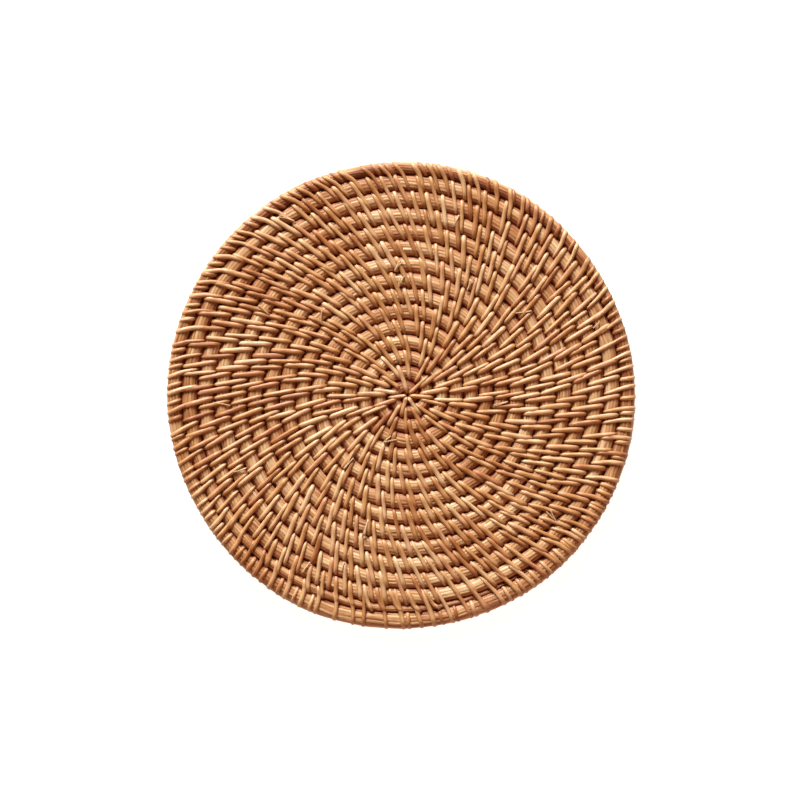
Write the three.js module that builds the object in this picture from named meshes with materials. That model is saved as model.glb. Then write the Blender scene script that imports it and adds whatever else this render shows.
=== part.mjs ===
// A round coiled placemat: one flat spiral of bundled splints, closed by a rim hoop.
// Millimetres, +Z up. The origin is under the middle of the outline, on the surface the mat lies on.
// The thickness includes the cane that sews the turns together; its single stitches are not modelled.

import * as THREE from 'three';

// The whole mat
const MAT_DIAMETER = 300;
const MAT_THICKNESS = 9;
const GROOVE_DEPTH = 2.3;
const CLEARANCE = 0.32;

// Waves in the hand-made outline: how many, how high, and where they start
const OUTLINE_WAVES = [
  { count: 4, height: 0.3, phaseDegrees: 89 },
  { count: 6, height: 0.28, phaseDegrees: -26 },
];

// The spiral: each turn is a little wider than the last, and its centre drifts as the mat grows
const FIRST_PITCH = 9.34;
const PITCH_GROWTH = 0.045;
const START_ANGLE_DEGREES = 63.4;
const SPIRAL_CENTRE = new THREE.Vector2(4.1, -0.1);
const CENTRE_DRIFT_PER_TURN = new THREE.Vector2(-0.126, 0.072);

// The button is the tight knot at the start, round which the first turn is laid
const BUTTON_RADIUS = 6;
const FIRST_TURN_STARTS = 0.78;

// The last turn keeps its full width up to here, then thins away under the rim hoop
const FULL_TURNS = 14.32;
const TAIL_TURNS = 0.385;
const TAIL_TAPER = 0.75;
const FULL_HEIGHT_WIDTH = 6;

// Facets: steps in one turn of the coil, and in the hoop for each of those
const STEPS_PER_TURN = 40;
const HOOP_STEPS = 2;

// Sections, as a share of the width from the inner groove to the outer one, and of the rib's height
const COIL_TOP = [
  { across: 0, rise: 0 },
  { across: 0.17, rise: 0.72 },
  { across: 0.36, rise: 1 },
  { across: 0.64, rise: 1 },
  { across: 0.83, rise: 0.72 },
  { across: 1, rise: 0 },
];
const COIL_UNDERSIDE = [
  { across: 0, rise: 0 },
  { across: 0.28, rise: 1 },
  { across: 0.72, rise: 1 },
  { across: 1, rise: 0 },
];
const HOOP_FACE = [
  { across: 0, rise: 0 },
  { across: 0.18, rise: 0.72 },
  { across: 0.36, rise: 1 },
  { across: 0.64, rise: 1 },
  { across: 0.87, rise: 0.68 },
  { across: 1, rise: -0.15 },
];

const START_ROW = Math.round(FIRST_TURN_STARTS * STEPS_PER_TURN);
const FULL_ROW = Math.round(FULL_TURNS * STEPS_PER_TURN);
const END_ROW = Math.round((FULL_TURNS + TAIL_TURNS) * STEPS_PER_TURN);

function directionAt(row) {
  const angle = THREE.MathUtils.degToRad(START_ANGLE_DEGREES + (360 * row) / STEPS_PER_TURN);
  return new THREE.Vector2(Math.cos(angle), Math.sin(angle));
}

function spiralPoint(row) {
  const turns = row / STEPS_PER_TURN;
  const radius = FIRST_PITCH * turns + PITCH_GROWTH * turns * turns;
  const centre = SPIRAL_CENTRE.clone().addScaledVector(CENTRE_DRIFT_PER_TURN, turns);
  return centre.addScaledVector(directionAt(row), radius);
}

// The groove on the outer side of the coil: round the button, along the spiral, then beside the tail
function groovePoint(row) {
  if (row < START_ROW) {
    return SPIRAL_CENTRE.clone().addScaledVector(directionAt(row), BUTTON_RADIUS);
  }
  if (row <= FULL_ROW) {
    return spiralPoint(row);
  }
  const left = (END_ROW - row) / (END_ROW - FULL_ROW);
  const fullWidth = spiralPoint(row).distanceTo(spiralPoint(row - STEPS_PER_TURN));
  const width = fullWidth * Math.pow(left, TAIL_TAPER);
  return spiralPoint(row - STEPS_PER_TURN).addScaledVector(directionAt(row), width);
}

// Collects the points and triangles of one closed solid
class Solid {
  constructor() {
    this.positions = [];
    this.triangles = [];
  }

  point(flat, height) {
    this.positions.push(flat.x, flat.y, height);
    return this.positions.length / 3 - 1;
  }

  triangle(a, b, c) {
    if (a !== b && b !== c && c !== a) {
      this.triangles.push(a, b, c);
    }
  }

  // Joins two lists of points side by side, turned over where the face looks down
  band(first, second, looksUp = true) {
    for (let i = 0; i + 1 < first.length; i++) {
      const [a, b] = looksUp ? [first[i], first[i + 1]] : [first[i + 1], first[i]];
      const [c, d] = looksUp ? [second[i], second[i + 1]] : [second[i + 1], second[i]];
      this.triangle(a, b, d);
      this.triangle(a, d, c);
    }
  }

  mesh(name, material) {
    const geometry = new THREE.BufferGeometry();
    geometry.setAttribute('position', new THREE.Float32BufferAttribute(this.positions, 3));
    geometry.setIndex(this.triangles);
    geometry.computeVertexNormals();
    const mesh = new THREE.Mesh(geometry, material);
    mesh.name = name;
    return mesh;
  }
}

// Height of a point of a section: ribs rise to the top face, or reach down to the surface
function heightOf(rise, looksUp) {
  const fromFace = GROOVE_DEPTH * (1 - rise);
  return looksUp ? MAT_THICKNESS - fromFace : fromFace;
}

// The button's face: rings that climb from its groove, and a flat middle
function addButton(solid, section, looksUp, grooves) {
  const rows = [];
  for (let row = START_ROW - STEPS_PER_TURN; row < START_ROW; row++) {
    rows.push(row);
  }
  const outerHalf = section.filter((spot) => spot.across > 0.5).reverse();
  const rings = outerHalf.map((spot) => {
    const radius = BUTTON_RADIUS - (1 - spot.across) * FIRST_PITCH;
    return rows.map((row) => {
      const place = SPIRAL_CENTRE.clone().addScaledVector(directionAt(row), radius);
      return solid.point(place, heightOf(spot.rise, looksUp));
    });
  });
  rows.forEach((row, i) => grooves.set(row, rings[0][i]));
  const middle = solid.point(SPIRAL_CENTRE, heightOf(1, looksUp));
  const last = rings[rings.length - 1];
  for (let i = 0; i < rows.length; i++) {
    const next = (i + 1) % rows.length;
    const inward = rings.map((ring) => ring[i]).reverse();
    const inwardNext = rings.map((ring) => ring[next]).reverse();
    solid.band(inward, inwardNext, looksUp);
    const [a, b] = looksUp ? [last[i], last[next]] : [last[next], last[i]];
    solid.triangle(middle, a, b);
  }
}

// One face of the coil. Each turn starts from the groove points of the turn inside it
function addCoilFace(solid, section, looksUp) {
  const grooves = new Map();
  addButton(solid, section, looksUp, grooves);
  let before = section.map(() => grooves.get(START_ROW - 1));
  for (let row = START_ROW; row < END_ROW; row++) {
    const inner = groovePoint(row - STEPS_PER_TURN);
    const outer = groovePoint(row);
    const fullness = Math.min(1, inner.distanceTo(outer) / FULL_HEIGHT_WIDTH);
    const current = section.map((spot) => {
      if (spot.across === 0) {
        return grooves.get(row - STEPS_PER_TURN);
      }
      const place = inner.clone().lerp(outer, spot.across);
      return solid.point(place, heightOf(spot.rise * fullness, looksUp));
    });
    grooves.set(row, current[current.length - 1]);
    solid.band(before, current, looksUp);
    before = current;
  }
  const tip = section.map(() => grooves.get(END_ROW - STEPS_PER_TURN));
  solid.band(before, tip, looksUp);
  return outerRows().map((row) => grooves.get(row));
}

// The rows whose outer side faces the rim hoop, once round
function outerRows() {
  return Array.from({ length: STEPS_PER_TURN }, (_, i) => END_ROW - STEPS_PER_TURN + i);
}

function makeCoil(material) {
  const solid = new Solid();
  const topEdge = addCoilFace(solid, COIL_TOP, true);
  const lowEdge = addCoilFace(solid, COIL_UNDERSIDE, false);
  solid.band([...topEdge, topEdge[0]], [...lowEdge, lowEdge[0]], false);
  return solid.mesh('coil', material);
}

function outlinePoint(row) {
  const direction = directionAt(row);
  const angle = Math.atan2(direction.y, direction.x);
  let radius = MAT_DIAMETER / 2;
  for (const wave of OUTLINE_WAVES) {
    const phase = THREE.MathUtils.degToRad(wave.phaseDegrees);
    radius += wave.height * Math.cos(wave.count * angle + phase);
  }
  return direction.multiplyScalar(radius);
}

// The hoop lies round the coil's outer side, which it follows at a small clearance
function makeHoop(material) {
  const solid = new Solid();
  const coilSide = outerRows().map((row) => groovePoint(row));
  const sections = [];
  for (let i = 0; i < STEPS_PER_TURN * HOOP_STEPS; i++) {
    const step = i / HOOP_STEPS;
    const from = coilSide[Math.floor(step)];
    const to = coilSide[(Math.floor(step) + 1) % STEPS_PER_TURN];
    const row = END_ROW - STEPS_PER_TURN + step;
    const inner = from.clone().lerp(to, step % 1).addScaledVector(directionAt(row), CLEARANCE);
    const outer = outlinePoint(row);
    const top = HOOP_FACE.map((spot) => {
      return solid.point(inner.clone().lerp(outer, spot.across), heightOf(spot.rise, true));
    });
    const underside = HOOP_FACE.map((spot) => {
      return solid.point(inner.clone().lerp(outer, spot.across), heightOf(spot.rise, false));
    });
    sections.push([...top, ...underside.reverse(), top[0]]);
  }
  sections.forEach((section, i) => {
    solid.band(section, sections[(i + 1) % sections.length]);
  });
  return solid.mesh('rim_hoop', material);
}

const coilFinish = new THREE.MeshStandardMaterial({ color: 0xc99a62, roughness: 0.6, metalness: 0 });
const hoopFinish = new THREE.MeshStandardMaterial({ color: 0xb07c46, roughness: 0.6, metalness: 0 });

const placemat = new THREE.Group();
placemat.add(makeCoil(coilFinish), makeHoop(hoopFinish));

export default placemat;
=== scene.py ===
"""A round coiled placemat: bundled splints wound flat, sewn with split cane, in a rim hoop.

All sizes are in metres, in the frame of the CAD model. Turns are counted from the middle of the mat
outwards, and one whole turn leads once round, counter-clockwise as seen from above.
"""

import math

import bpy
import numpy as np
from bpy.props import FloatProperty, FloatVectorProperty, IntProperty, PointerProperty
from bpy.types import Operator, Panel, PropertyGroup
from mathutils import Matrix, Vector


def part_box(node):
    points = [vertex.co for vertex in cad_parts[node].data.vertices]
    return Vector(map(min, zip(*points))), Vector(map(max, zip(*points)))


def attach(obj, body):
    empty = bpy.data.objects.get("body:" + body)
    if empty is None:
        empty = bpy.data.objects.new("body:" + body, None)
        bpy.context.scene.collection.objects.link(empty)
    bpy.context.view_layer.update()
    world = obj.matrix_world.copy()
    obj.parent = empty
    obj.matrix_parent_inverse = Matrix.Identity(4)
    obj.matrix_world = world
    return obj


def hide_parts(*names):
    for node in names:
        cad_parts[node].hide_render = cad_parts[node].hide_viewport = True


bl_info = {
    "name": "Coiled Placemat",
    "version": (1, 0, 0),
    "blender": (4, 5, 0),
    "location": "View3D > Sidebar > Placemat",
    "description": "Makes a round coiled placemat of splints and split cane, piece by piece",
    "category": "Add Mesh",
}

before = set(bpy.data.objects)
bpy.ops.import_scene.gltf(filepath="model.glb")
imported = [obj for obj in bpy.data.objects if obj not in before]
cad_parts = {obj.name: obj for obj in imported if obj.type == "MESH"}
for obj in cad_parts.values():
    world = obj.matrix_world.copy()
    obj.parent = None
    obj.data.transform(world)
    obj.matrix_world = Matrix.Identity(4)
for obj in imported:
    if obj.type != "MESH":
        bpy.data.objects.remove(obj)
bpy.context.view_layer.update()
HOOP_LOW, HOOP_HIGH = (Vector(corner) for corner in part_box("rim_hoop"))
MAT_THICKNESS = HOOP_HIGH.z - HOOP_LOW.z
SEED = 41

# Where the spiral starts. The outline has its middle at the origin
HUB = (0.0041, -0.0001)
# Where the first row of stitches starts and ends, in turns, and how many go once round
FIRST_ROW_STARTS, FIRST_ROW_ENDS, FIRST_ROW_STITCHES = 1.2, 2.14, 7
# Radii of the rings round the hub in which the first and the second row start
FIRST_RING, SECOND_RING = 0.0011, 0.0066
# A turn's crest lies half-way from one groove to the next
CREST = 0.5
# How far round a turn a stitch goes before it is out of sight, in degrees from the crest
TUCKED = 98


# Sizes and colours that a user would change

class SpiralSizes(PropertyGroup):
    """The spiral that the turns follow, as it is in the CAD model"""

    pitch: FloatProperty(
        name="First pitch", description="Width of the first turn", default=0.00934, unit="LENGTH"
    )
    growth: FloatProperty(
        name="Growth", description="Half of what each turn is wider than the last",
        default=0.000045, precision=6, unit="LENGTH",
    )
    start: FloatProperty(
        name="Start", description="Direction in which the spiral starts",
        default=math.radians(63.4), subtype="ANGLE",
    )
    centre: FloatVectorProperty(
        name="Centre", description="Where the spiral starts", size=2,
        default=HUB, subtype="XYZ", unit="LENGTH",
    )
    drift: FloatVectorProperty(
        name="Drift", description="How far the centre moves in each turn", size=2,
        default=(-0.000126, 0.000072), precision=6, subtype="XYZ", unit="LENGTH",
    )
    full_turns: FloatProperty(
        name="Full turns", description="Turns before the tail begins to thin", default=14.325
    )
    end_turns: FloatProperty(
        name="End", description="Turns at which the tail has thinned away", default=14.7
    )
    tail_taper: FloatProperty(
        name="Tail taper", description="Power by which the tail thins", default=0.75
    )
    diameter: FloatProperty(
        name="Diameter", description="Width of the whole mat", default=0.3, unit="LENGTH"
    )


class CoreSizes(PropertyGroup):
    """The bundles of splints inside the binding"""

    splints: IntProperty(name="Splints", description="Splints round one bundle", default=15)
    relief: FloatProperty(
        name="Relief", description="Depth of the line between two splints",
        default=0.00024, precision=5, unit="LENGTH",
    )
    uneven: FloatProperty(
        name="Unevenness", description="How far a splint rises or sinks along its way",
        default=0.00016, precision=5, unit="LENGTH",
    )
    step: FloatProperty(
        name="Step", description="Length of one facet along the bundle",
        default=0.0041, precision=4, unit="LENGTH",
    )
    squeeze: FloatProperty(
        name="Squeeze", description="How far each turn reaches past a groove, into its neighbour",
        default=0.00025, precision=5, unit="LENGTH",
    )
    wander: FloatProperty(
        name="Wander", description="How far the splints turn round the bundle, each way",
        default=math.radians(11), subtype="ANGLE",
    )


class CaneSizes(PropertyGroup):
    """The split cane that sews the turns together"""

    width: FloatProperty(
        name="Width", description="Width of the cane", default=0.0031, precision=4, unit="LENGTH"
    )
    thickness: FloatProperty(
        name="Thickness", description="Thickness of the cane",
        default=0.00125, precision=4, unit="LENGTH",
    )
    bedding: FloatProperty(
        name="Bedding", description="How deep the cane presses into the splints",
        default=0.0002, precision=5, unit="LENGTH",
    )
    spacing: FloatProperty(
        name="Spacing", description="From one stitch to the next, along the coil",
        default=0.0102, precision=4, unit="LENGTH",
    )
    rim_spacing: FloatProperty(
        name="Rim spacing", description="From one stitch to the next at the rim",
        default=0.0111, precision=4, unit="LENGTH",
    )
    lean: FloatProperty(
        name="Lean", description="How far the stitches lean from the straight way out",
        default=math.radians(17.5), subtype="ANGLE",
    )
    lean_swing: FloatProperty(
        name="Lean swing", description="How much the lean changes round the mat",
        default=math.radians(5), subtype="ANGLE",
    )
    inner_lean: FloatProperty(
        name="Inner lean", description="How much straighter the innermost stitches are",
        default=math.radians(15.5), subtype="ANGLE",
    )
    lean_uneven: FloatProperty(
        name="Lean unevenness", description="How much the lean differs from stitch to stitch",
        default=math.radians(2.4), subtype="ANGLE",
    )
    rim_bedding: FloatProperty(
        name="Rim bedding", description="How deep cane lies in the hoop's side, but for the squeeze",
        default=0.00045, precision=5, unit="LENGTH",
    )
    sag: FloatProperty(
        name="Sag", description="How far a stitch dips between the two turns that it spans",
        default=0.0004, precision=5, unit="LENGTH",
    )


class MatColours(PropertyGroup):
    """Colours of the cane and the splints"""

    cane_pale: FloatVectorProperty(
        name="Pale cane", description="The palest stitches", size=4, subtype="COLOR",
        default=(0.57, 0.40, 0.235, 1), min=0, max=1,
    )
    cane_honey: FloatVectorProperty(
        name="Honey cane", description="Most of the stitches", size=4, subtype="COLOR",
        default=(0.45, 0.24, 0.10, 1), min=0, max=1,
    )
    cane_brown: FloatVectorProperty(
        name="Brown cane", description="The darkest stitches", size=4, subtype="COLOR",
        default=(0.27, 0.10, 0.03, 1), min=0, max=1,
    )
    blush: FloatVectorProperty(
        name="Blush", description="The pinkish tinge of some cane", size=4, subtype="COLOR",
        default=(0.46, 0.225, 0.13, 1), min=0, max=1,
    )
    tan: FloatVectorProperty(
        name="Tan", description="What the more used parts of the mat are tinted with",
        size=4, subtype="COLOR", default=(0.82, 0.68, 0.54, 1), min=0, max=1,
    )
    # Painted shade: this colour is multiplied into every surface down in the grooves, in place of
    # the shade that falls there
    groove: FloatVectorProperty(
        name="Grooves", description="What everything is tinted with, down in the grooves",
        size=4, subtype="COLOR", default=(0.45, 0.11, 0.010, 1), min=0, max=1,
    )
    splint_pale: FloatVectorProperty(
        name="Pale splint", description="The palest splints", size=4, subtype="COLOR",
        default=(0.68, 0.52, 0.32, 1), min=0, max=1,
    )
    splint_brown: FloatVectorProperty(
        name="Brown splint", description="The darkest splints", size=4, subtype="COLOR",
        default=(0.22, 0.072, 0.02, 1), min=0, max=1,
    )


class StageSettings(PropertyGroup):
    """Floor, light and camera"""

    floor: FloatVectorProperty(
        name="Floor", description="Colour of the floor", size=4, subtype="COLOR",
        default=(0.36, 0.36, 0.36, 1), min=0, max=1,
    )
    floor_glow: FloatProperty(
        name="Floor glow", description="Light that the floor gives off, as a light table does",
        default=0.76,
    )
    key_power: FloatProperty(
        name="Key light", description="Power of the large light", default=1635.0, unit="POWER"
    )
    key_azimuth: FloatProperty(
        name="Key azimuth", description="Direction that the key light comes from",
        default=math.radians(107), subtype="ANGLE",
    )
    key_height: FloatProperty(
        name="Key height", description="Angle of the key light over the floor",
        default=math.radians(22.5), subtype="ANGLE",
    )
    key_colour: FloatVectorProperty(
        name="Key colour", description="Colour of the large light", subtype="COLOR",
        default=(0.965, 0.99, 1.0), min=0, max=1,
    )
    fill: FloatProperty(name="Fill", description="Strength of the even light", default=0.115)
    fill_colour: FloatVectorProperty(
        name="Fill colour", description="Colour of the even light", size=4, subtype="COLOR",
        default=(1.0, 0.91, 0.82, 1), min=0, max=1,
    )
    haze: FloatProperty(
        name="Haze", description="Strength of the light low down, behind the floor", default=0.95
    )
    card_power: FloatProperty(
        name="Warm card", description="Power of the weak warm light from the other side",
        default=64.0, unit="POWER",
    )
    card_colour: FloatVectorProperty(
        name="Card colour", description="Colour of the weak warm light", subtype="COLOR",
        default=(1.0, 0.34, 0.10), min=0, max=1,
    )
    camera_height: FloatProperty(
        name="Camera height", description="Camera over the floor", default=1.6, unit="LENGTH"
    )


# The lines that the pieces follow

class Spiral:
    """Where the grooves between the turns run, and where the outline is."""

    # Waves of the outline: how many go round, how high they are, and their phase in degrees
    waves = ((4, 0.0003, 89), (6, 0.00028, -26))
    # How far the cane's flat side lies inside the outline, so that its crest lies on it
    rim_inset = 0.00105
    # Where the tail is narrower than this share of a turn, a stitch takes it in with the hoop
    thin_tail = 0.6

    def __init__(self, sizes):
        self.sizes = sizes
        self.centre = np.array(sizes.centre)
        self.drift = np.array(sizes.drift)

    def ray(self, turns):
        """The direction in which a place on the spiral lies, as seen from the middle."""
        angle = self.sizes.start + 2 * math.pi * np.asarray(turns, float)
        return np.stack([np.cos(angle), np.sin(angle)], axis=-1)

    def radius(self, turns):
        """How far the spiral is from its centre."""
        turns = np.maximum(turns, 0)
        return self.sizes.pitch * turns + self.sizes.growth * turns ** 2

    def regular(self, turns):
        """Places on the spiral itself."""
        turns = np.asarray(turns, float)
        middle = self.centre + self.drift * np.maximum(turns, 0)[..., None]
        return middle + self.ray(turns) * self.radius(turns)[..., None]

    def groove(self, turns):
        """The groove on a turn's outer side: on the spiral, and further in where the tail thins."""
        turns = np.asarray(turns, float)
        on_spiral, inside = self.regular(turns), self.regular(turns - 1)
        full, end = self.sizes.full_turns, self.sizes.end_turns
        left = np.clip((end - turns) / (end - full), 0, 1) ** self.sizes.tail_taper
        return inside + (on_spiral - inside) * left[..., None]

    def outline(self, turns):
        """The mat's hand-made edge, which is a circle but for two trains of low waves."""
        ray = self.ray(turns)
        angle = np.arctan2(ray[..., 1], ray[..., 0])
        rise = sum(
            height * np.cos(count * angle + math.radians(phase))
            for count, height, phase in self.waves
        )
        return ray * (self.sizes.diameter / 2 + rise)[..., None]

    def coil_lines(self, turns):
        """The three grooves that a stitch over two turns starts from, crosses and ends in.

        The first stitches all start in the middle, and those of the second row in a ring round it.
        """
        inner = self.groove(turns - 2)
        from_middle = inner - self.centre
        distance = np.linalg.norm(from_middle, axis=-1)
        least = np.where(turns < FIRST_ROW_ENDS, FIRST_RING, SECOND_RING)
        ray = np.where(distance[..., None] > 1e-6, from_middle, self.ray(turns))
        ray = ray / np.linalg.norm(ray, axis=-1)[..., None]
        inner = self.centre + ray * np.maximum(distance, least)[..., None]
        return inner, self.groove(turns - 1), self.groove(turns)

    def rim_lines(self, turns):
        """The same for a stitch over the last turn and the hoop. It takes in a thin tail."""
        inner, outer = self.groove(turns - 1), self.groove(turns)
        further_in = self.groove(turns - 2)
        thin = np.linalg.norm(outer - inner, axis=-1) < self.thin_tail * self.sizes.pitch
        inner = np.where(thin[..., None], further_in, inner)
        return inner, outer, self.outline(turns) - self.ray(turns) * self.rim_inset


def place_across(lines, across):
    """The place between three lines at a share from -1, on the first, to 1, on the last."""
    inner, middle, outer = lines
    share = np.asarray(across)[..., None]
    within = middle + (inner - middle) * np.clip(-share, 0, 1)
    return within + (outer - middle) * np.clip(share, 0, 1)


def smooth_noise(rng, places, wavelength, count=1):
    """Smooth curves between about -1 and 1 over the places, one row for each of count curves."""
    curves = np.zeros((count, len(places)))
    for height, length in ((0.6, 1.0), (0.45, 0.47), (0.3, 0.21)):
        phase = rng.uniform(0, 2 * math.pi, (count, 1))
        pace = rng.uniform(0.8, 1.25, (count, 1)) / (wavelength * length)
        curves += height * np.sin(2 * math.pi * pace * places + phase)
    return curves


# Meshes from rings of points

def shelter(points):
    """How deep points lie between the turns, which sets how much painted shade the finishes put
    there: 0 on a crest or at the mat's edge, 1 half-way down.

    It reaches further up round the hub, so that the painted shade in the grooves there is the
    darkest.
    """
    steepness = 2.4
    hub_extra, hub_reach, hub_fade = 0.24, 0.032, 0.02
    edge_width, edge_fade = 0.006, 0.003
    from_hub = np.hypot(points[:, 0] - HUB[0], points[:, 1] - HUB[1])
    from_edge = HOOP_HIGH.x - np.hypot(points[:, 0], points[:, 1])
    crest = np.abs(points[:, 2] / MAT_THICKNESS - 0.5) * steepness
    # Painted shade: round the hub the groove shade reaches higher up the turns
    crest -= hub_extra * np.clip((hub_reach - from_hub) / hub_fade, 0, 1)
    edge = (edge_width - from_edge) / edge_fade
    return np.clip(1 - np.maximum(crest, edge), 0, 1)


def add_piece(name, vertices, faces, finish):
    """Makes a smooth mesh object that rides on the mat's one body."""
    mesh = bpy.data.meshes.new(name)
    mesh.from_pydata(vertices.tolist(), [], faces)
    mesh.materials.append(finish)
    mesh.polygons.foreach_set("use_smooth", np.ones(len(mesh.polygons), bool))
    piece = bpy.data.objects.new(name, mesh)
    bpy.context.scene.collection.objects.link(piece)
    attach(piece, "root")
    return piece


def store(piece, name, values, domain="POINT"):
    """Keeps one number for each point or face corner of the mesh, for the finish to read."""
    layer = piece.data.attributes.new(name, "FLOAT", domain)
    layer.data.foreach_set("value", np.asarray(values, np.float32).ravel())


def run_of(path):
    """How far along a path each of its points lies."""
    return np.concatenate([[0], np.cumsum(np.linalg.norm(np.diff(path, axis=0), axis=1))])


# Heights across one splint, as shares of the relief: the line beside it, a flank, its crest, a flank
SPLINT_SECTION = np.array([-1.0, -0.28, 0.0, -0.28])


def add_bundle(name, inner, outer, heights, closed, core, rng, finish):
    """A bundle of splints between two lines, from rings round its run. heights are half heights."""
    wander_length, rise_length, swell_length, swelling = 0.16, 0.07, 0.05, 0.02
    closing_length, full_half_width, least_slim = 0.03, 0.004, 0.1
    per_splint = len(SPLINT_SECTION)
    around = core.splints * per_splint
    middle, half = (inner + outer) / 2, np.linalg.norm(outer - inner, axis=1) / 2
    out = (outer - inner) / (2 * half[:, None])
    run = run_of(middle)

    wander = core.wander * smooth_noise(rng, run, wander_length)[0]
    turn = math.pi - 2 * math.pi * np.arange(around) / around + wander[:, None]
    lines = np.tile(SPLINT_SECTION, core.splints)
    rise = smooth_noise(rng, run, rise_length, core.splints).repeat(per_splint, axis=0).T
    swell = 1 + swelling * smooth_noise(rng, run, swell_length)[0][:, None]
    if closed:
        blend = np.clip((run[-1] - run) / closing_length, 0, 1)[:, None]
        rise = rise * blend + rise[0] * (1 - blend)
        swell = swell * blend + swell[0] * (1 - blend)
    slim = np.clip(half / full_half_width, least_slim, 1)[:, None]
    half = half + core.squeeze
    ridge = (core.relief * lines + core.uneven * rise) * slim

    cos, sin = np.cos(turn), np.sin(turn)
    x = cos * half[:, None] * swell + ridge * cos
    z = sin * heights[:, None] * swell + ridge * sin
    points = np.empty((*x.shape, 3))
    points[..., :2] = middle[:, None] + out[:, None] * x[..., None]
    points[..., 2] = MAT_THICKNESS / 2 + z

    rings = len(points)
    rows = np.arange(rings if closed else rings - 1)
    a = rows[:, None] * around + np.arange(around)
    b = rows[:, None] * around + (np.arange(around) + 1) % around
    step = ((rows + 1) % rings - rows)[:, None] * around
    faces = np.stack([a, a + step, b + step, b], axis=-1).reshape(-1, 4).tolist()
    if not closed:
        faces.append(list(range(around)))
        faces.append(list(range(rings * around - 1, (rings - 1) * around - 1, -1)))
    piece = add_piece(name, points.reshape(-1, 3), faces, finish)

    ends = np.append(run, run[-1] + np.linalg.norm(middle[0] - middle[-1]))
    near, far = ends[rows], ends[rows + 1]
    shape = (len(rows), around)
    along = np.stack([np.broadcast_to(v[:, None], shape) for v in (near, far, far, near)], -1)
    column = np.broadcast_to(np.arange(around) / per_splint, shape)
    across = np.stack([column, column, column + 1 / per_splint, column + 1 / per_splint], -1)
    store(piece, "shelter", shelter(points.reshape(-1, 3)))
    spare = np.zeros(0 if closed else 2 * around)
    store(piece, "along", np.append(along.ravel(), spare), "CORNER")
    store(piece, "across", np.append(across.ravel(), spare), "CORNER")
    return piece


# Half-round section of split cane: sideways from -1 to 1, and up from its flat side
CANE_SECTION = np.array([
    (-1.0, 0.05), (-0.93, 0.42), (-0.70, 0.74), (-0.36, 0.94), (0.0, 1.0),
    (0.36, 0.94), (0.70, 0.74), (0.93, 0.42), (1.0, 0.05), (0.0, -0.1),
])
# Cane that narrows to nothing would still have this share of its thickness
LEAST_THICKNESS = 0.45
# The two parameters of the beta spread of tones, which go from brown at 0 to pale at 1
STITCH_TONES, WRAP_TONES = (4.4, 2.4), (3.2, 2.0)


class Canes:
    """Gathers strips of cane, and makes one mesh of them."""

    def __init__(self, stitching):
        self.cane, self.rng = stitching.cane, stitching.rng
        self.points, self.faces = [], []
        self.layers = {"tone": [], "blush": [], "along": [], "across": []}
        self.count = 0

    def add(self, path, normals, widths, tone=None):
        """A strip along a path. normals point out of its flat side, and widths are shares."""
        tangents = np.gradient(path, axis=0)
        tangents /= np.linalg.norm(tangents, axis=1)[:, None]
        sideways = np.cross(tangents, normals)
        sideways /= np.linalg.norm(sideways, axis=1)[:, None]
        up = np.cross(sideways, tangents)
        half = self.cane.width / 2 * widths[:, None, None]
        shares = LEAST_THICKNESS + (1 - LEAST_THICKNESS) * widths[:, None, None]
        thick = self.cane.thickness * shares
        across, lift = CANE_SECTION[:, 0, None], CANE_SECTION[:, 1, None]
        ring = path[:, None] + sideways[:, None] * across * half
        ring = ring + up[:, None] * (lift * thick - self.cane.bedding)

        size, rings = len(CANE_SECTION), len(path)
        base = self.count
        first = base + np.arange(rings - 1)[:, None] * size
        a, b = first + np.arange(size), first + (np.arange(size) + 1) % size
        quads = np.stack([a, b, b + size, a + size], axis=-1).reshape(-1, 4)
        self.faces.extend(quads.tolist())
        self.faces.append(list(range(base + size - 1, base - 1, -1)))
        last = base + (rings - 1) * size
        self.faces.append(list(range(last, last + size)))
        self.points.append(ring.reshape(-1, 3))
        self.count += rings * size

        tone = self.rng.beta(*STITCH_TONES) if tone is None else tone
        self.layers["tone"].append(np.full(rings * size, tone))
        self.layers["blush"].append(np.full(rings * size, self.rng.random()))
        self.layers["along"].append(np.repeat(run_of(path), size))
        self.layers["across"].append(np.tile(CANE_SECTION[:, 0], rings))

    def piece(self, name, finish):
        """Makes the piece from all the strips, with their layers."""
        points = np.concatenate(self.points)
        made = add_piece(name, points, self.faces, finish)
        store(made, "shelter", shelter(points))
        for layer, values in self.layers.items():
            store(made, layer, np.concatenate(values))


# How one stitch runs, as angles round the sides of the turns that it holds

def crest_height(cane):
    """How high the splints reach over the mat's mid-plane, with room for the cane on top."""
    return MAT_THICKNESS / 2 - cane.thickness + cane.bedding


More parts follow.
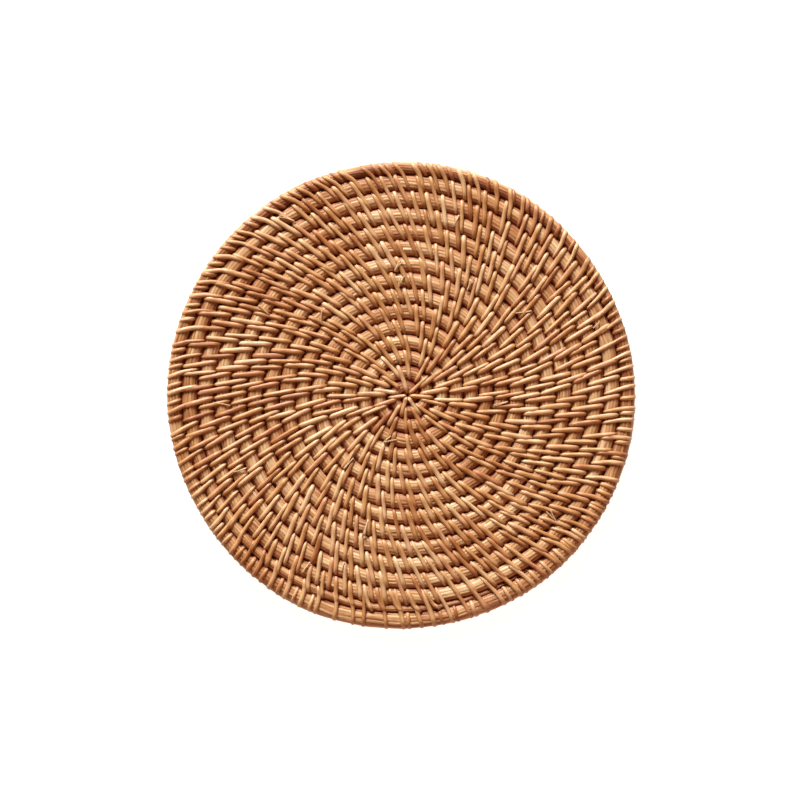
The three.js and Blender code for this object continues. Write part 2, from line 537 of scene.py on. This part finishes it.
class Stitching:
    """Turns a stitch's start, lean and kind into its path through the mat."""

    # Power by which a stitch slants more where it starts than where it ends
    slant = 1.2

    def __init__(self, spiral, cane, rng):
        self.spiral, self.cane, self.rng = spiral, cane, rng
        self.half_height = crest_height(cane)

    def shift_share(self, across):
        """How much of its lean a stitch has taken up."""
        return 1 - (1 - (np.asarray(across) + 1) / 2) ** self.slant

    def side(self, first, last, steps, outer):
        """Round a turn's side: how far across, and how high. Angle 0 is straight up."""
        angle = np.linspace(math.radians(first), math.radians(last), steps)
        across = CREST * np.sin(angle) + (CREST if outer else -CREST)
        return across, self.half_height * np.cos(angle)

    def span(self, steps, underneath=False):
        """Over the crests of both turns, with a dip between them."""
        across = np.linspace(-CREST, CREST, steps + 2)[1:-1]
        height = self.half_height - self.cane.sag * (1 - (across / CREST) ** 2)
        return (across[::-1], -height[::-1]) if underneath else (across, height)

    def path(self, lines_of, start, shift, across, height, shares=None):
        """Points and normals of a stitch, from its places across and its heights."""
        shares = self.shift_share(across) if shares is None else shares
        turns = start + shift * shares
        lines = lines_of(turns)
        flat = place_across(lines, across)
        out = lines[2] - lines[0]
        out /= np.linalg.norm(out, axis=1)[:, None]
        points = np.column_stack([flat, MAT_THICKNESS / 2 + height])
        ahead = np.gradient(points, axis=0)
        outward = (ahead[:, :2] * out).sum(axis=1)
        normals = np.column_stack([out * -ahead[:, 2:], outward])
        normals /= np.linalg.norm(normals, axis=1)[:, None]
        return points, normals


def lay_out(spiral, cane, rng):
    """The start, shift and crossing of each stitch over two turns, in turns, along the whole coil.

    A stitch starts beside the middle of one in the row inside it where it can, so that the rows
    step outwards in rays. Where the rays have spread too far, one more stitch comes between.
    """
    # What keeps the stitches round the hub from crowding, and how far from the tail's end they stop
    least_reach, stop_short = 0.014, 0.12
    # How uneven the spacing is, and in the first row. Its rule ends a little before the row does
    uneven, uneven_first, rule_ends = (0.9, 1.12), (0.88, 1.12), FIRST_ROW_ENDS - 0.1
    # Room for one cane beside another, as a share of its width
    room = 1.02
    # The widest and the narrowest gap, as shares of the spacing, and how far a stitch is drawn
    # back to the one that it starts beside
    widest, narrowest, drawn_back = 1.22, 0.82, 0.6
    # How much of its lean a stitch has taken up where the one in the next row starts beside it
    crossing_share = 0.61
    starts, shifts, crossings = [], [], []
    ahead = []
    turns = FIRST_ROW_STARTS
    while turns < spiral.sizes.end_turns - stop_short:
        reach = math.hypot(float(spiral.radius(turns - 1)), least_reach)
        per_metre = 1 / (2 * math.pi * reach)
        wished = turns + cane.spacing * rng.uniform(*uneven) * per_metre
        if turns < rule_ends:
            wished = turns + rng.uniform(*uneven_first) / FIRST_ROW_STITCHES
        wide = cane.width * room * per_metre
        while len(ahead) > 1 and ahead[1] < wished:
            ahead.pop(0)
        place = wished
        if ahead and ahead[0] < wished:
            beside = ahead[0] + wide
            before_next = ahead[1] - wide if len(ahead) > 1 else wished
            place = min(max(wished, beside), max(before_next, beside))
            place = min(place, turns + widest * cane.spacing * per_metre)
            locked = place + drawn_back * (beside - place)
            if locked - turns > narrowest * cane.spacing * per_metre:
                place = locked
        lean = stitch_lean(spiral, cane, place, rng)
        length = 2 * (spiral.sizes.pitch + 2 * spiral.sizes.growth * place)
        shift = length * math.tan(lean) * per_metre
        crossing = place + shift * crossing_share
        starts.append(place)
        shifts.append(shift)
        crossings.append(crossing)
        ahead.append(crossing + 1)
        turns = place
    return np.array(starts), np.array(shifts), np.array(crossings)


def stitch_lean(spiral, cane, turns, rng):
    """The lean is least near the middle, and most to the north and the south."""
    northwards, straight_radius = math.radians(106), 0.09
    ray = spiral.ray(turns)
    swing = math.cos(2 * (math.atan2(ray[1], ray[0]) - northwards))
    near_middle = max(0.0, 1 - float(spiral.radius(turns - 1)) / straight_radius)
    lean = cane.lean + cane.lean_swing * swing - cane.inner_lean * near_middle
    return lean + cane.lean_uneven * rng.normal(0, 1)


def stitch_widths(count, rng, starts_thin=True):
    """Shares of the cane's full width along a stitch, which comes up edgeways and ends blunt."""
    slimmest, widest = 0.82, 1.13
    thin, thin_part, swelling, blunt, blunt_part = 0.5, 0.3, 0.7, 0.25, 0.07
    along = np.linspace(0, 1, count)
    widths = np.full(count, rng.uniform(slimmest, widest))
    if starts_thin:
        widths *= thin + (1 - thin) * np.clip(along / thin_part, 0, 1) ** swelling
    widths *= 1 - blunt * np.clip((along - (1 - blunt_part)) / blunt_part, 0, 1)
    return widths


def joined(*parts):
    """Parts of a path, each as places across and heights, as one."""
    return tuple(np.concatenate(halves) for halves in zip(*parts))


def sew_top(stitching, layout, chosen, canes):
    """The stitches that show from above, each over two turns."""
    across, height = joined(
        stitching.side(-TUCKED, 0, 6, outer=False),
        stitching.span(4),
        stitching.side(0, TUCKED, 6, outer=True),
    )
    # The cane is split narrower for the hub, and widens from turn to turn
    hub_width, widening = 0.76, 0.07
    # How much tighter or looser a stitch is pulled, as a share of its height, and in metres
    tightest, loosest, loose = -0.03, 0.035, 0.00005
    rng, lines_of = stitching.rng, stitching.spiral.coil_lines
    for start, shift in zip(layout[0][chosen], layout[1][chosen]):
        lift = height * (1 + rng.uniform(tightest, loosest)) + rng.normal(0, loose)
        path = stitching.path(lines_of, start, shift, across, lift)
        widths = stitch_widths(len(across), rng) * min(1, hub_width + widening * start)
        canes.add(*path, widths)


def sew_underside(stitching, layout, canes):
    """The way back below: from where a stitch goes down to where the next one comes up."""
    across, height = joined(
        stitching.side(TUCKED, 180, 4, outer=True),
        stitching.span(3, underneath=True),
        stitching.side(180, 360 - TUCKED, 4, outer=False),
    )
    back = (1 - across) / 2
    rng, lines_of = stitching.rng, stitching.spiral.coil_lines
    starts, shifts, _ = layout
    for start, shift, after in zip(starts[:-1], shifts[:-1], starts[1:]):
        way = after - (start + shift)
        path = stitching.path(lines_of, start + shift, way, across, height, shares=back)
        canes.add(*path, stitch_widths(len(across), rng, starts_thin=False))


def lay_out_rim(stitching, crossings):
    """Starts of the stitches that take in the hoop, once round, beside the last row's middles.

    A stitch that no middle is near enough to keeps its even place, give or take a little.
    """
    near_enough, uneven = 0.3, 0.06
    spiral, cane, rng = stitching.spiral, stitching.cane, stitching.rng
    end = spiral.sizes.end_turns
    per_metre = 1 / (math.pi * spiral.sizes.diameter)
    wide = cane.width * per_metre
    beside = crossings[(crossings > end - 1) & (crossings < end)] + wide
    count = round(1 / (cane.rim_spacing * per_metre))
    starts = end - 1 + (np.arange(count) + 0.5) / count
    for i, start in enumerate(starts):
        nearest = beside[np.argmin(np.abs(beside - start))]
        if abs(nearest - start) < near_enough / count:
            starts[i] = nearest
        else:
            starts[i] += rng.normal(0, uneven) / count
    return starts


def once_round(starts):
    """Each start with the one after it, and the last with the first, a turn on."""
    return zip(starts, np.append(starts[1:], starts[0] + 1))


def rim_shift(stitching, start):
    """How far round the rim a stitch leans, in turns. It leans a little more than the others."""
    span, extra_lean = 0.021, math.radians(3)
    spiral = stitching.spiral
    lean = stitch_lean(spiral, stitching.cane, start, stitching.rng) + extra_lean
    return span * math.tan(lean) / (math.pi * spiral.sizes.diameter)


def sew_rim(stitching, starts, canes):
    """Stitches that start inside the last turn and go right round the hoop."""
    spiral, rng = stitching.spiral, stitching.rng
    up_steps, over_steps, round_steps = 6, 4, 12
    across, height = joined(
        stitching.side(-TUCKED, 0, up_steps, outer=False),
        stitching.span(over_steps),
        stitching.side(0, 180, round_steps, outer=True),
        stitching.span(4, underneath=True),
        stitching.side(180, 360 - TUCKED, 5, outer=False),
    )
    above = np.arange(len(across)) < up_steps + over_steps + round_steps // 2
    leaning, back = stitching.shift_share(across), (1 - across) / 2
    for start, after in once_round(starts):
        shift = rim_shift(stitching, start)
        shares = np.where(above, leaning, 1 + back * ((after - start) / shift - 1))
        path = stitching.path(spiral.rim_lines, start, shift, across, height, shares)
        canes.add(*path, stitch_widths(len(across), rng))


def wrap_rim(stitching, starts, canes):
    """Short wraps round the hoop alone, between the long stitches.

    They are fewer to the south, browner to the north-east, and double in two places, where the
    hoop's ends are bound.
    """
    first, last, steps = -92, 250, 24
    usual, to_the_south, browned = 0.9, 0.45, 0.3
    started, slant, uneven, width_range = 0.55, 0.9, 0.05, (0.72, 0.98)
    spiral, rng = stitching.spiral, stitching.rng
    across, height = stitching.side(first, last, steps, outer=True)
    turned = np.linspace(0, 1, len(across))
    for start, after in once_round(starts):
        gap = after - start
        ray = spiral.ray(start)
        angle = math.degrees(math.atan2(ray[1], ray[0])) % 360
        chance = to_the_south if 245 < angle < 295 else usual
        count = 1 if rng.random() < chance else 0
        ends_bound = abs(angle - 311) < 5 or abs(angle - 326) < 4
        if ends_bound:
            count = 2
        shift = rim_shift(stitching, start)
        for k in range(count):
            place = start + (k + 1) / (count + 1) * gap + started * shift
            place += rng.normal(0, uneven) * gap
            path = stitching.path(
                spiral.rim_lines, place, slant * shift, across, height, shares=turned
            )
            widths = np.full(len(across), rng.uniform(*width_range))
            tone = rng.beta(*WRAP_TONES) - (browned if 15 < angle < 110 else 0)
            canes.add(*path, widths, tone=tone)


def fray(stitching, count, canes):
    """Thin splinters that have come loose between the stitches, some of them forked.

    Each starts beside a groove, rises in a low arch over the turn next to it, and ends thin.
    """
    first_turn, last_turn, least_radius = 1.2, 14.2, 0.008
    origins, reach_range, stretch_range = (-0.95, -0.05, 0.05, 0.95), (0.5, 1.0), (0.9, 1.4)
    # Mean and spread of how far a cluster goes aside, and how its splinters spread from each other
    aside_mean, aside_spread, fork_spread = 0.001, 0.0025, 0.0017
    least_rise, rise_range, arch, lifted, curl = 0.96, (0.14, 0.24), 2.3, 0.0003, 1.3
    width_range, end_width, tone_range = (0.33, 0.44), 0.5, (1.1, 1.4)
    rng, spiral = stitching.rng, stitching.spiral
    along = np.linspace(0, 1, 9)
    for _ in range(count):
        start = math.sqrt(rng.uniform(first_turn ** 2, last_turn ** 2))
        origin = rng.choice(origins)
        reach = -math.copysign(rng.uniform(*reach_range), origin)
        aside = rng.normal(aside_mean, aside_spread)
        for _ in range(rng.integers(1, 4)):
            aside += rng.normal(0, fork_spread)
            radius = max(float(spiral.radius(start - 1)), least_radius)
            across = origin + reach * along * rng.uniform(*stretch_range)
            rise = least_rise + rng.uniform(*rise_range) * np.sin(arch * along)
            height = stitching.half_height * rise + lifted
            shift = aside / (2 * math.pi * radius)
            path = stitching.path(
                spiral.coil_lines, start, shift, across, height, shares=along ** curl
            )
            widths = rng.uniform(*width_range) * (1 - (1 - end_width) * along)
            canes.add(*path, widths, tone=rng.uniform(*tone_range))


# Finishes

class Quantity:
    """A number that changes over a surface. Sums on it add the nodes that work them out."""

    def __init__(self, finish, socket):
        self.finish, self.socket = finish, socket

    def reckon(self, operation, *inputs):
        return self.finish.node("ShaderNodeMath", {"operation": operation}, inputs)

    def __add__(self, other):
        return self.reckon("ADD", self, other)

    def __sub__(self, other):
        return self.reckon("SUBTRACT", self, other)

    def __mul__(self, other):
        return self.reckon("MULTIPLY", self, other)

    def __rsub__(self, other):
        return self.reckon("SUBTRACT", other, self)

    def __abs__(self):
        return self.reckon("ABSOLUTE", self)

    def __pow__(self, other):
        return self.reckon("POWER", self, other)

    __radd__, __rmul__ = __add__, __mul__

    def floor(self):
        return self.reckon("FLOOR", self)

    def fraction(self):
        return self.reckon("FRACT", self)

    def between(self, low, high):
        """0 at and below low, 1 at and above high, and even between them."""
        shares = {"From Min": low, "From Max": high, "Value": self}
        return self.finish.node("ShaderNodeMapRange", {"clamp": True}, shares)


class Finish:
    """A material in the making."""

    def __init__(self, name):
        self.material = bpy.data.materials.new(name)
        self.material.use_nodes = True
        self.tree = self.material.node_tree
        self.tree.nodes.clear()

    def node(self, kind, settings=None, sockets=(), output=0):
        """Adds a node: its settings first, then the values or links of its sockets."""
        made = self.tree.nodes.new(kind)
        for name, value in (settings or {}).items():
            if name == "stops":
                self.set_stops(made.color_ramp, value)
            else:
                setattr(made, name, value)
        pairs = sockets.items() if isinstance(sockets, dict) else enumerate(sockets)
        for key, value in pairs:
            if isinstance(value, Quantity):
                self.tree.links.new(value.socket, made.inputs[key])
            else:
                made.inputs[key].default_value = value
        return Quantity(self, made.outputs[output]) if made.outputs else made

    @staticmethod
    def set_stops(ramp, stops):
        while len(ramp.elements) < len(stops):
            ramp.elements.new(0.5)
        for element, (position, colour) in zip(ramp.elements, stops):
            element.position = position
            element.color = colour

    def attribute(self, name):
        return self.node("ShaderNodeAttribute", {"attribute_name": name}, output="Fac")

    def place(self, x, y, z):
        return self.node("ShaderNodeCombineXYZ", sockets=(x, y, z))

    def noise(self, place, scale=1.0, detail=2.0):
        sockets = {"Vector": place, "Scale": scale, "Detail": detail}
        return self.node("ShaderNodeTexNoise", sockets=sockets, output="Fac")

    def chance(self, place):
        """One even random number for each whole place."""
        return self.node("ShaderNodeTexWhiteNoise", sockets={"Vector": place}, output="Value")

    def ramp(self, share, stops):
        return self.node("ShaderNodeValToRGB", {"stops": stops}, (share,), output="Color")

    def mix(self, first, second, share, blend="MIX"):
        settings = {"data_type": "RGBA", "blend_type": blend}
        return self.node("ShaderNodeMix", settings, {0: share, 6: first, 7: second}, output=2)

    def surface(self, colour, roughness, relief, depth):
        """Ends the material: a plain dielectric with a bump of the given depth in metres."""
        bump = {"Strength": 1.0, "Distance": depth, "Height": relief}
        normal = self.node("ShaderNodeBump", sockets=bump)
        sockets = {"Base Color": colour, "Roughness": roughness, "Normal": normal}
        shader = self.node("ShaderNodeBsdfPrincipled", sockets=sockets)
        self.node("ShaderNodeOutputMaterial", sockets=(shader,))
        return self.material


def tan_and_shade(finish, colour, colours):
    """Tans a colour in clouds, more to the north-west, and darkens it down in the grooves with
    painted shade.
    """
    cloudy, cloud_edges, more_per_metre = 0.85, (0.42, 0.66), (-1.1, 0.8, 0)
    groove_shade_edges = (0.18, 0.7)
    place = finish.node("ShaderNodeTexCoord", output="Object")
    clouds = finish.noise(place, scale=26, detail=1.5).between(*cloud_edges)
    settings = {"operation": "DOT_PRODUCT"}
    used = finish.node("ShaderNodeVectorMath", settings, (place, more_per_metre), output="Value")
    colour = finish.mix(colour, tuple(colours.tan), clouds * cloudy + used, blend="MULTIPLY")
    # Painted shade: the deeper a point lies between the turns, the more the groove colour darkens it
    depth = finish.attribute("shelter").between(*groove_shade_edges)
    return finish.mix(colour, tuple(colours.groove), depth, blend="MULTIPLY")


def cane_finish(colours):
    """Split cane: glossy skin with fine lines along it, and each strip a tone of its own."""
    # Noise per metre along a strip and per half width across it, and what sets the strips apart
    line_scale, patch_scale, apart = (40, 4), (170, 0.7), (61, 17, 83)
    patchy, lined, browner = 0.55, 0.9, 0.13
    blush_edges, blushing, edge_brown_and_shade, edge_power = (0.45, 1.0), 0.42, 0.75, 5
    gloss, dull_lines, line_depth = 0.36, 0.22, 0.00027
    finish = Finish("split_cane")
    tone, blush = finish.attribute("tone"), finish.attribute("blush")
    along, across = finish.attribute("along"), finish.attribute("across")
    own = tone * apart[0] + blush * apart[1]
    place = finish.place(along * line_scale[0], across * line_scale[1], own)
    lines = finish.noise(place, detail=5)
    place = finish.place(along * patch_scale[0], across * patch_scale[1], tone * apart[2])
    patches = finish.noise(place, detail=2)
    shade = tone + (patches - 0.5) * patchy + (lines - 0.5) * lined - browner
    colour = finish.ramp(shade, (
        (0.05, tuple(colours.cane_brown)),
        (0.45, tuple(colours.cane_honey)),
        (0.9, tuple(colours.cane_pale)),
    ))
    colour = finish.mix(colour, tuple(colours.blush), blush.between(*blush_edges) * blushing)
    # Partly the cane's own darker edges, partly painted shade where the cane meets the splints under
    # it
    edge = abs(across) ** edge_power * edge_brown_and_shade
    colour = finish.mix(colour, tuple(colours.cane_brown), edge)
    colour = tan_and_shade(finish, colour, colours)
    return finish.surface(colour, gloss + lines * dull_lines, lines, line_depth)


def splint_finish(name, colours, darker):
    """Splints side by side, each with its own tone for a stretch, and fine fibres along them."""
    # Noise per metre along and per splint across, and what sets the stretches apart
    fibre_scale, patch_scale, apart = (45, 4), (60, 0.35), 29
    # Stretches of one tone in a metre, and how many of them the splints are staggered by
    stretches, staggered = 9, 7
    own_tone, patchy, fibrous, edge_brown_and_shade = 0.5, 0.9, 1.2, 0.25
    browner, hoop_brown_and_shade, blush_edges, blushing = 0.14 + darker, 0.65, (0.5, 1.0), 0.25
    gloss, dull_fibres, fibre_depth = 0.5, 0.25, 0.0003
    finish = Finish(name)
    along, across = finish.attribute("along"), finish.attribute("across")
    splint = across.floor()
    offset = finish.chance(finish.place(splint, 3.0, 0.0)) * staggered
    stretch = (along * stretches + offset).floor()
    tone = finish.chance(finish.place(splint, stretch, 1.0))
    place = finish.place(along * fibre_scale[0], across * fibre_scale[1], tone * apart)
    fibres = finish.noise(place, detail=5)
    place = finish.place(along * patch_scale[0], across * patch_scale[1], 0.0)
    patches = finish.noise(place, detail=2)
    # Painted shade: each splint darkens towards its edges, as shade in the lines between the splints
    edge = abs(across.fraction() - 0.5) * 2
    shade = tone * own_tone + patches * patchy + (fibres - 0.5) * fibrous - browner
    # The browned mark is partly the hoop's own browner skin, partly painted shade on its inner slope
    shade = shade - edge ** 3 * edge_brown_and_shade - finish.attribute("browned") * hoop_brown_and_shade
    colour = finish.ramp(shade, (
        (0.0, tuple(colours.splint_brown)),
        (0.42, tuple(colours.cane_honey)),
        (0.95, tuple(colours.splint_pale)),
    ))
    blush = finish.chance(finish.place(splint, stretch, 5.0)).between(*blush_edges)
    colour = finish.mix(colour, tuple(colours.blush), blush * blushing)
    colour = tan_and_shade(finish, colour, colours)
    return finish.surface(colour, gloss + fibres * dull_fibres, fibres, fibre_depth)


# Operators, one for each group of pieces and one for the stage

def sizes_of(context):
    """The sizes of the spiral, the core and the cane, and the colours."""
    scene = context.scene
    return scene.mat_spiral, scene.mat_core, scene.mat_cane, scene.mat_colours


def start_sewing(context, seed):
    """What a step that sews starts with: its stitching, and the cane's finish."""
    spiral_sizes, _, cane, colours = sizes_of(context)
    stitching = Stitching(Spiral(spiral_sizes), cane, np.random.default_rng(seed))
    return stitching, bpy.data.materials.get("split_cane") or cane_finish(colours)


def shared_layout(stitching):
    """The stitches' places, which are the same whichever step asks."""
    return lay_out(stitching.spiral, stitching.cane, np.random.default_rng(SEED))


class PLACEMAT_OT_lay_coil(Operator):
    """Winds the bundle of splints from the middle out to its thin tail"""

    bl_idname = "placemat.lay_coil"
    bl_label = "Lay the coil"

    # Where the bundle starts, in turns, and how far from the spiral's end it stops
    first_place, stop_short = 0.06, 0.004
    # A ring is made as often as this in each turn, or more often where the turns are long
    least_rings, least_radius = 22, 0.003
    # The bundle is flatter where it is narrower than this, down to a least share
    full_width, least_share = 0.0075, 0.15

    def execute(self, context):
        sizes, core, cane, colours = sizes_of(context)
        spiral = Spiral(sizes)
        places = [self.first_place]
        while places[-1] < sizes.end_turns - 1.5 * self.stop_short:
            radius = max(float(spiral.radius(places[-1] - CREST)), self.least_radius)
            step = min(core.step / (2 * math.pi * radius), 1 / self.least_rings)
            places.append(places[-1] + step)
        turns = np.minimum(np.array(places), sizes.end_turns - self.stop_short)
        inner, outer = spiral.groove(turns - 1), spiral.groove(turns)
        width = np.linalg.norm(outer - inner, axis=1)
        shares = np.clip(width / self.full_width, self.least_share, 1) ** 0.5
        heights = crest_height(cane) * shares
        finish = splint_finish("coil_splints", colours, darker=0.0)
        rng = np.random.default_rng(SEED + 1)
        piece = add_bundle("coil_core", inner, outer, heights, False, core, rng, finish)
        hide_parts("coil")
        return {"FINISHED"}


class PLACEMAT_OT_fit_hoop(Operator):
    """Closes the mat with the bundle that makes its rim hoop"""

    bl_idname = "placemat.fit_hoop"
    bl_label = "Fit the rim hoop"

    # How far the hoop's inner side is let in towards the last turn, so that no light comes through
    let_in = 0.0002

    def execute(self, context):
        sizes, core, cane, colours = sizes_of(context)
        spiral = Spiral(sizes)
        count = round(math.pi * sizes.diameter / core.step)
        turns = sizes.end_turns - 1 + np.arange(count) / count
        ray = spiral.ray(turns)
        inner = spiral.groove(turns) - ray * self.let_in
        outer = spiral.outline(turns) - ray * (cane.thickness - cane.rim_bedding)
        heights = np.full(count, crest_height(cane))
        finish = splint_finish("hoop_splints", colours, darker=0.08)
        rng = np.random.default_rng(SEED + 2)
        piece = add_bundle("hoop_core", inner, outer, heights, True, core, rng, finish)
        self.brown_and_shade_inner_half(piece, sizes.diameter / 2)
        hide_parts("rim_hoop")
        return {"FINISHED"}

    @staticmethod
    def brown_and_shade_inner_half(piece, radius):
        """Darkens the inner half of the hoop, most to the north: partly the hoop's own browner skin,
        partly painted shade on the inner slope, which faces away from the light there.
        """
        darkest_side, darkened_all_round, outer_part, fade = math.radians(75), 0.35, 0.0008, 0.004
        places = np.empty((len(piece.data.vertices), 3))
        piece.data.vertices.foreach_get("co", places.ravel())
        angle = np.arctan2(places[:, 1], places[:, 0])
        toward_darkest = np.clip(np.cos(angle - darkest_side) + darkened_all_round, 0, 1)
        inwards = radius - np.hypot(places[:, 0], places[:, 1])
        # Stored as browned: partly the hoop's browner skin, partly painted shade on the inner slope
        store(piece, "browned", toward_darkest * np.clip((inwards - outer_part) / fade, 0, 1))


class PLACEMAT_OT_sew_turns(Operator):
    """Sews the turns together, above and below"""

    bl_idname = "placemat.sew_turns"
    bl_label = "Sew the turns"

    # The stitches on this share of the turns make the inner binding, and the rest the outer one
    inner_share = 0.69

    def execute(self, context):
        stitching, finish = start_sewing(context, SEED + 3)
        layout = shared_layout(stitching)
        inner = layout[0] < stitching.spiral.sizes.end_turns * self.inner_share
        for name, chosen in (("binding_inner", inner), ("binding_outer", ~inner)):
            canes = Canes(stitching)
            sew_top(stitching, layout, chosen, canes)
            canes.piece(name, finish)
        canes = Canes(stitching)
        sew_underside(stitching, layout, canes)
        canes.piece("binding_underside", finish)
        return {"FINISHED"}


class PLACEMAT_OT_bind_rim(Operator):
    """Sews the hoop to the last turn, and wraps it"""

    bl_idname = "placemat.bind_rim"
    bl_label = "Bind the rim"

    def execute(self, context):
        stitching, finish = start_sewing(context, SEED + 4)
        starts = lay_out_rim(stitching, crossings=shared_layout(stitching)[2])
        for name, work in (("rim_stitches", sew_rim), ("rim_wraps", wrap_rim)):
            canes = Canes(stitching)
            work(stitching, starts, canes)
            canes.piece(name, finish)
        return {"FINISHED"}


class PLACEMAT_OT_fray(Operator):
    """Adds the few splinters that stand loose on a mat made by hand"""

    bl_idname = "placemat.fray"
    bl_label = "Fray the splints"

    clusters = 18

    def execute(self, context):
        stitching, finish = start_sewing(context, SEED + 5)
        canes = Canes(stitching)
        fray(stitching, self.clusters, canes)
        canes.piece("loose_splinters", finish)
        return {"FINISHED"}


class PLACEMAT_OT_declare(Operator):
    """Does nothing; the mat lies flat as a sheet, with its hoop and binding on it"""

    bl_idname = "placemat.declare"
    bl_label = "Declare the mat"

    def execute(self, context):
        return {"FINISHED"}


def set_inputs(node, values):
    """Sets a node's sockets by their names."""
    for name, value in values.items():
        node.inputs[name].default_value = value


def add_area_light(name, place, size, power, colour):
    """A round light that faces the mat."""
    light = bpy.data.lights.new(name, "AREA")
    light.shape, light.size = "DISK", size
    light.energy, light.color = power, colour
    lamp = bpy.data.objects.new(name, light)
    lamp.location = place
    lamp.rotation_euler = (-Vector(place)).to_track_quat("-Z", "Y").to_euler()
    bpy.context.scene.collection.objects.link(lamp)


class PLACEMAT_OT_set_stage(Operator):
    """Sets the floor, the lights and the camera straight above"""

    bl_idname = "placemat.set_stage"
    bl_label = "Set the stage"

    # The frame is 800 pixels wide, and the mat's circle in it is this far across and off centre
    frame_pixels = 800
    mat_pixels = 470.2
    off_centre = (1.1, 4.6)
    # How far off and how wide the lights are, and how high the warm one stands
    key_distance, key_width = 8, 3.0
    card_distance, card_width, card_height = 4, 2.5, 2.8

    def execute(self, context):
        stage, scene = context.scene.mat_stage, context.scene
        self.add_floor(stage)
        across = math.cos(stage.key_height)
        place = Vector((
            across * math.cos(stage.key_azimuth),
            across * math.sin(stage.key_azimuth),
            math.sin(stage.key_height),
        )) * self.key_distance
        add_area_light("key", place, self.key_width, stage.key_power, stage.key_colour)

        place = Vector((
            -self.card_distance * math.cos(stage.key_azimuth),
            -self.card_distance * math.sin(stage.key_azimuth),
            self.card_height,
        ))
        add_area_light("warm_card", place, self.card_width, stage.card_power, stage.card_colour)
        scene.world = self.make_world(stage)
        scene.view_settings.view_transform = "Standard"
        scene.view_settings.look = "Medium High Contrast"

        camera = bpy.data.cameras.new("camera")
        metres_per_pixel = context.scene.mat_spiral.diameter / self.mat_pixels
        width = self.frame_pixels * metres_per_pixel
        camera.lens = camera.sensor_width * (stage.camera_height - MAT_THICKNESS) / width
        seen = bpy.data.objects.new("camera", camera)
        seen.location = (
            -self.off_centre[0] * metres_per_pixel,
            -self.off_centre[1] * metres_per_pixel,
            stage.camera_height,
        )
        scene.collection.objects.link(seen)
        scene.camera = seen
        return {"FINISHED"}

    @staticmethod
    def make_world(stage):
        """Dim overhead, and pale low down, so that the floor ends in a pale haze."""
        haze_ends, haze_full = 0.42, 0.2
        world = bpy.data.worlds.new("haze")
        world.use_nodes = True
        nodes, links = world.node_tree.nodes, world.node_tree.links
        direction = nodes.new("ShaderNodeTexCoord")
        parts = nodes.new("ShaderNodeSeparateXYZ")
        haze = nodes.new("ShaderNodeMapRange")
        set_inputs(haze, {
            "From Min": haze_ends, "From Max": haze_full, "To Min": stage.fill, "To Max": stage.haze
        })
        links.new(direction.outputs["Generated"], parts.inputs[0])
        links.new(parts.outputs["Z"], haze.inputs["Value"])
        background = nodes["Background"]
        set_inputs(background, {"Color": stage.fill_colour})
        links.new(haze.outputs["Result"], background.inputs["Strength"])
        return world

    @staticmethod
    def add_floor(stage):
        """A wide sheet of matt paper, a little below the mat so that their faces don't mix."""
        half, below = 30.0, 0.0002
        mesh = bpy.data.meshes.new("floor")
        corners = [(-half, -half, 0), (half, -half, 0), (half, half, 0), (-half, half, 0)]
        mesh.from_pydata(corners, [], [(0, 1, 2, 3)])
        material = bpy.data.materials.new("floor_paper")
        material.use_nodes = True
        set_inputs(material.node_tree.nodes["Principled BSDF"], {
            "Base Color": stage.floor,
            "Roughness": 0.9,
            "Specular IOR Level": 0.1,
            "Emission Color": (1, 1, 1, 1),
            "Emission Strength": stage.floor_glow,
        })
        mesh.materials.append(material)
        floor = bpy.data.objects.new("floor", mesh)
        floor.location.z = -below
        bpy.context.scene.collection.objects.link(floor)


STEPS = (
    PLACEMAT_OT_lay_coil,
    PLACEMAT_OT_fit_hoop,
    PLACEMAT_OT_sew_turns,
    PLACEMAT_OT_bind_rim,
    PLACEMAT_OT_fray,
    PLACEMAT_OT_declare,
    PLACEMAT_OT_set_stage,
)


class PLACEMAT_PT_sidebar(Panel):
    """Lists the steps in their order"""

    bl_idname = "PLACEMAT_PT_sidebar"
    bl_label = "Coiled placemat"
    bl_space_type = "VIEW_3D"
    bl_region_type = "UI"
    bl_category = "Placemat"

    def draw(self, context):
        for step in STEPS:
            self.layout.operator(step.bl_idname)


SETTINGS = {
    "mat_spiral": SpiralSizes,
    "mat_core": CoreSizes,
    "mat_cane": CaneSizes,
    "mat_colours": MatColours,
    "mat_stage": StageSettings,
}


def register():
    for kind in (*SETTINGS.values(), *STEPS, PLACEMAT_PT_sidebar):
        bpy.utils.register_class(kind)
    for name, kind in SETTINGS.items():
        setattr(bpy.types.Scene, name, PointerProperty(type=kind))


def unregister():
    for name in SETTINGS:
        delattr(bpy.types.Scene, name)
    for kind in reversed((*SETTINGS.values(), *STEPS, PLACEMAT_PT_sidebar)):
        bpy.utils.unregister_class(kind)


def main():
    register()
    bpy.ops.placemat.lay_coil()
    bpy.ops.placemat.fit_hoop()
    bpy.ops.placemat.sew_turns()
    bpy.ops.placemat.bind_rim()
    bpy.ops.placemat.fray()
    bpy.ops.placemat.declare()
    bpy.ops.placemat.set_stage()


if __name__ == "__main__":
    main()
